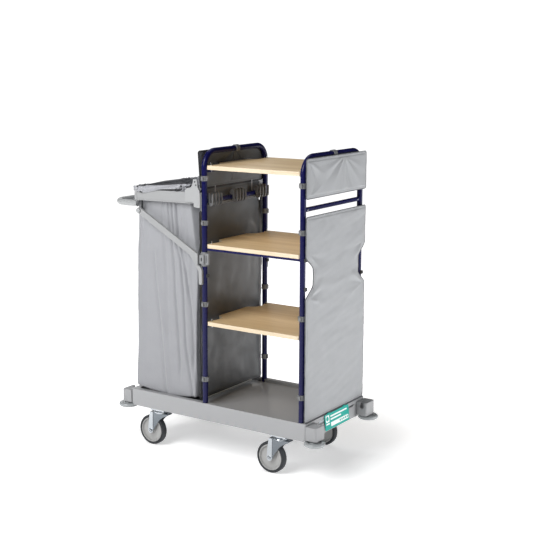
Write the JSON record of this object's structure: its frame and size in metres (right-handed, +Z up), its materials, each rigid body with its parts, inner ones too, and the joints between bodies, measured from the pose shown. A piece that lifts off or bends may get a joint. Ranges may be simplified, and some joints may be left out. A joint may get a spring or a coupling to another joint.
{
  "type": "housekeeping cart",
  "caption": "Housekeeping cart with a moulded tray on swivel casters, tubular arches with wooden shelves, fabric end covers and a framed laundry bag.",
  "frame": {"origin": "on the floor, under the middle of the overall outline", "axes": "+X along the cart away from the push handle, +Y to its back long side, +Z up"},
  "size_m": [1.016, 0.5, 1.2495],
  "materials": {
    "moulded_plastic": "fine satin grain",
    "pale_plastic": "semi-gloss",
    "clip_plastic": "satin",
    "navy_steel": "gloss powder coat",
    "beech_laminate": "satin laminate, pale edge band",
    "zinc_steel": "bright zinc plate",
    "tyre_rubber": "matt",
    "hub_plastic": "satin",
    "cover_fabric": "coated polyester",
    "bag_fabric": "light woven polyester",
    "hem_fabric": "coated, slightly shiny",
    "sign_plastic": "semi-gloss print"
  },
  "bodies": {
    "cart": {"base_tray": "moulded_plastic", "arch_left": "navy_steel", "arch_right": "navy_steel", "crossbar_left": "navy_steel", "crossbar_right": "navy_steel", "top_clip_left": "clip_plastic", "top_clip_right": "clip_plastic", "shelf_top": "beech_laminate", "shelf_middle": "beech_laminate", "shelf_bottom": "beech_laminate", "tie_bar_front": "navy_steel", "tie_bar_back": "navy_steel", "cover_right_upper": "cover_fabric", "cover_right_lower": "cover_fabric", "cover_left_upper": "cover_fabric", "panel_left_lower": "cover_fabric", "panel_rod": "clip_plastic", "hook_rack_front": "clip_plastic", "hook_rack_middle": "clip_plastic", "hook_rack_back": "clip_plastic", "hook_rail": "clip_plastic", "push_handle": "pale_plastic", "laundry_bag": "bag_fabric", "bag_hem": "hem_fabric", "sign_plate": "sign_plastic", "bag_arm_front": "moulded_plastic", "arm_bracket_front": "moulded_plastic", "brace_front": "moulded_plastic", "brace_clamp_front": "moulded_plastic", "pivot_bolt_front": "pale_plastic", "bag_arm_back": "moulded_plastic", "arm_bracket_back": "moulded_plastic", "brace_back": "moulded_plastic", "brace_clamp_back": "moulded_plastic", "pivot_bolt_back": "pale_plastic", "corner_block_front_left": "moulded_plastic", "caster_plate_front_left": "zinc_steel", "corner_block_front_right": "moulded_plastic", "caster_plate_front_right": "zinc_steel", "corner_block_back_left": "moulded_plastic", "caster_plate_back_left": "zinc_steel", "corner_block_back_right": "moulded_plastic", "caster_plate_back_right": "zinc_steel"},
    "bumper_roller_front_left": {"bumper_front_left": "pale_plastic"},
    "swivel_front_left": {"caster_fork_front_left": "zinc_steel"},
    "wheel_front_left": {"wheel_hub_front_left": "hub_plastic", "wheel_tyre_front_left": "tyre_rubber"},
    "bumper_roller_front_right": {"bumper_front_right": "pale_plastic"},
    "swivel_front_right": {"caster_fork_front_right": "zinc_steel"},
    "wheel_front_right": {"wheel_hub_front_right": "hub_plastic", "wheel_tyre_front_right": "tyre_rubber"},
    "bumper_roller_back_left": {"bumper_back_left": "pale_plastic"},
    "swivel_back_left": {"caster_fork_back_left": "zinc_steel"},
    "wheel_back_left": {"wheel_hub_back_left": "hub_plastic", "wheel_tyre_back_left": "tyre_rubber"},
    "bumper_roller_back_right": {"bumper_back_right": "pale_plastic"},
    "swivel_back_right": {"caster_fork_back_right": "zinc_steel"},
    "wheel_back_right": {"wheel_hub_back_right": "hub_plastic", "wheel_tyre_back_right": "tyre_rubber"}
  },
  "joints": [
    {"name": "bumper_spin_front_left", "type": "hinge", "parent": "cart", "child": "bumper_roller_front_left", "pos_m": [-0.443, -0.209, 0.1563], "axis": [0, 0, 1], "continuous": true},
    {"name": "caster_swivel_front_left", "type": "hinge", "parent": "cart", "child": "swivel_front_left", "pos_m": [-0.283, -0.195, 0.15], "axis": [0, 0, 1], "continuous": true},
    {"name": "wheel_roll_front_left", "type": "hinge", "parent": "swivel_front_left", "child": "wheel_front_left", "pos_m": [-0.324, -0.195, 0.0625], "axis": [0, 1, 0], "continuous": true},
    {"name": "bumper_spin_front_right", "type": "hinge", "parent": "cart", "child": "bumper_roller_front_right", "pos_m": [0.467, -0.209, 0.1563], "axis": [0, 0, 1], "continuous": true},
    {"name": "caster_swivel_front_right", "type": "hinge", "parent": "cart", "child": "swivel_front_right", "pos_m": [0.307, -0.195, 0.15], "axis": [0, 0, 1], "continuous": true},
    {"name": "wheel_roll_front_right", "type": "hinge", "parent": "swivel_front_right", "child": "wheel_front_right", "pos_m": [0.266, -0.195, 0.0625], "axis": [0, 1, 0], "continuous": true},
    {"name": "bumper_spin_back_left", "type": "hinge", "parent": "cart", "child": "bumper_roller_back_left", "pos_m": [-0.443, 0.209, 0.1563], "axis": [0, 0, 1], "continuous": true},
    {"name": "caster_swivel_back_left", "type": "hinge", "parent": "cart", "child": "swivel_back_left", "pos_m": [-0.283, 0.195, 0.15], "axis": [0, 0, 1], "continuous": true},
    {"name": "wheel_roll_back_left", "type": "hinge", "parent": "swivel_back_left", "child": "wheel_back_left", "pos_m": [-0.324, 0.195, 0.0625], "axis": [0, 1, 0], "continuous": true},
    {"name": "bumper_spin_back_right", "type": "hinge", "parent": "cart", "child": "bumper_roller_back_right", "pos_m": [0.467, 0.209, 0.1563], "axis": [0, 0, 1], "continuous": true},
    {"name": "caster_swivel_back_right", "type": "hinge", "parent": "cart", "child": "swivel_back_right", "pos_m": [0.307, 0.195, 0.15], "axis": [0, 0, 1], "continuous": true},
    {"name": "wheel_roll_back_right", "type": "hinge", "parent": "swivel_back_right", "child": "wheel_back_right", "pos_m": [0.266, 0.195, 0.0625], "axis": [0, 1, 0], "continuous": true}
  ]
}
